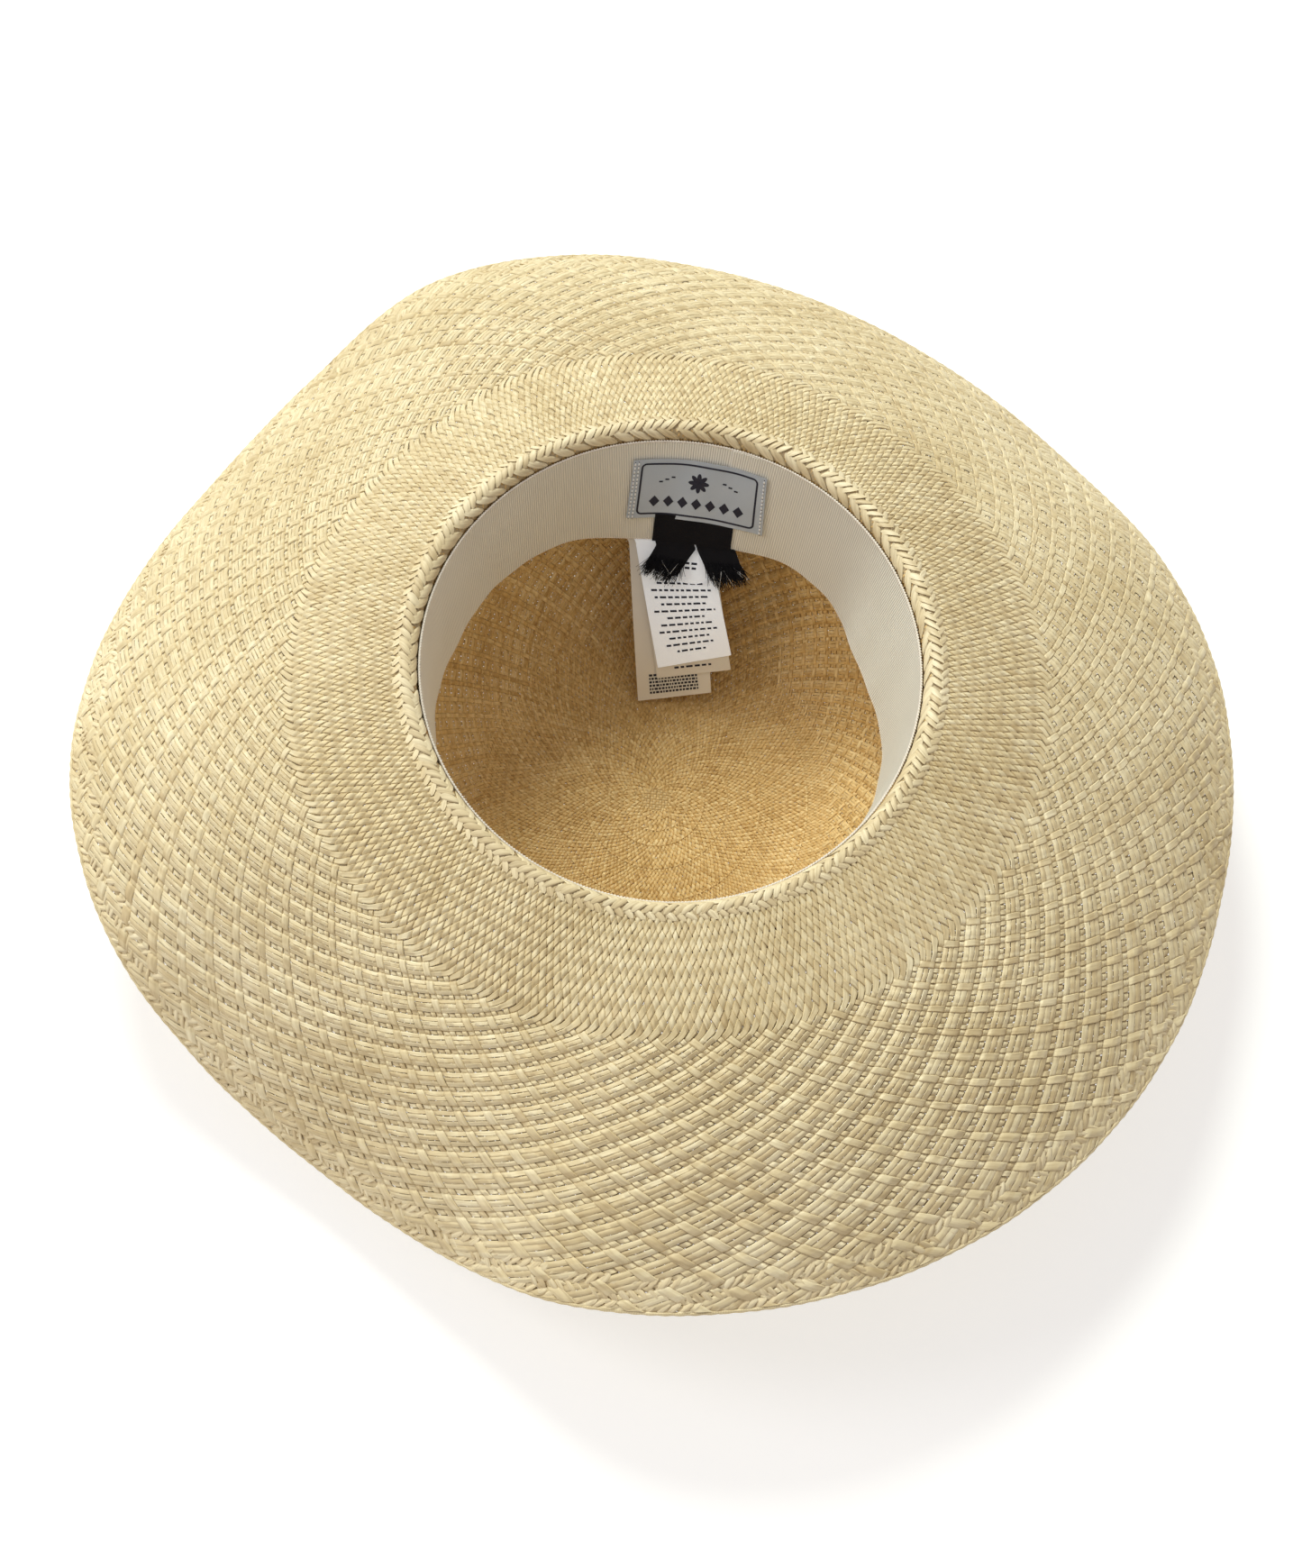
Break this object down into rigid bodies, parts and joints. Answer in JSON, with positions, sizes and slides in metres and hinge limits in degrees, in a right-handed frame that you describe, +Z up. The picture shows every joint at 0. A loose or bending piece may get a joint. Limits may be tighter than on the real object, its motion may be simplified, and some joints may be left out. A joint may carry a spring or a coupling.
{
  "type": "panama hat",
  "caption": "Wide wavy-brimmed woven straw hat resting crown down, with ribbon sweatband, sewn label, hanging care leaves and outer band.",
  "frame": {"origin": "centre of the crown tip's flat outer face, on which the hat rests upside down", "axes": "+Z up, out of the head opening; +Y towards the back of the hat, where the label is sewn; +X to the right of someone facing the label"},
  "size_m": [0.4028, 0.4297, 0.0952],
  "materials": {
    "straw_brim": "matte woven straw",
    "straw_crown": "matte woven straw",
    "ribbon_cream": "ribbed grosgrain",
    "thread_white": "matte thread",
    "satin_label": "silvery satin",
    "satin_care": "white satin",
    "tape_black": "matte twill",
    "hatband_black": "matte twill"
  },
  "bodies": {
    "hat": {"crown": "straw_crown", "chevron_row": "straw_brim", "brim": "straw_brim", "brim_border": "straw_brim", "sweatband": "ribbon_cream", "sweatband_thread": "thread_white", "label": "satin_label", "label_thread_left": "thread_white", "label_thread_right": "thread_white", "tape_fold": "tape_black", "care_root": "satin_care", "hatband": "hatband_black", "hatband_keeper": "hatband_black", "hatband_end_upper": "hatband_black", "hatband_end_lower": "hatband_black"},
    "care_leaf_back": {"care_leaf_back": "satin_care"},
    "care_leaf_middle": {"care_leaf_middle": "satin_care"},
    "care_leaf_front": {"care_leaf_front": "satin_care"},
    "size_tag": {"size_tag": "satin_care"},
    "tape_tail_left": {"tape_tail_left": "tape_black"},
    "tape_tail_right": {"tape_tail_right": "tape_black"}
  },
  "joints": [
    {"name": "care_leaf_back_fold", "type": "hinge", "parent": "hat", "child": "care_leaf_back", "pos_m": [-0.008, 0.0799, 0.0491], "axis": [-1, 0, 0], "range_deg": [0, 70]},
    {"name": "care_leaf_middle_fold", "type": "hinge", "parent": "hat", "child": "care_leaf_middle", "pos_m": [-0.004, 0.0795, 0.0498], "axis": [-1, 0, 0], "range_deg": [0, 73.3]},
    {"name": "care_leaf_front_fold", "type": "hinge", "parent": "hat", "child": "care_leaf_front", "pos_m": [-0.0055, 0.0791, 0.0505], "axis": [-1, 0, 0], "range_deg": [0, 76.1]},
    {"name": "size_tag_fold", "type": "hinge", "parent": "hat", "child": "size_tag", "pos_m": [0.004, 0.0788, 0.0513], "axis": [-1, 0, 0], "range_deg": [0, 77.5]},
    {"name": "tape_tail_left_fold", "type": "hinge", "parent": "hat", "child": "tape_tail_left", "pos_m": [-0.00255, 0.0784, 0.0522], "axis": [-1, 0, 0], "range_deg": [0, 77.5]},
    {"name": "tape_tail_right_fold", "type": "hinge", "parent": "hat", "child": "tape_tail_right", "pos_m": [0.01255, 0.0784, 0.0522], "axis": [-1, 0, 0], "range_deg": [0, 77.5]}
  ],
  "couplings": [
    {"joint": "care_leaf_middle_fold", "follows": "care_leaf_back_fold", "ratio": 1.04},
    {"joint": "care_leaf_front_fold", "follows": "care_leaf_back_fold", "ratio": 1.08},
    {"joint": "size_tag_fold", "follows": "care_leaf_back_fold", "ratio": 1.1},
    {"joint": "tape_tail_left_fold", "follows": "care_leaf_back_fold", "ratio": 1.1},
    {"joint": "tape_tail_right_fold", "follows": "care_leaf_back_fold", "ratio": 1.1}
  ]
}
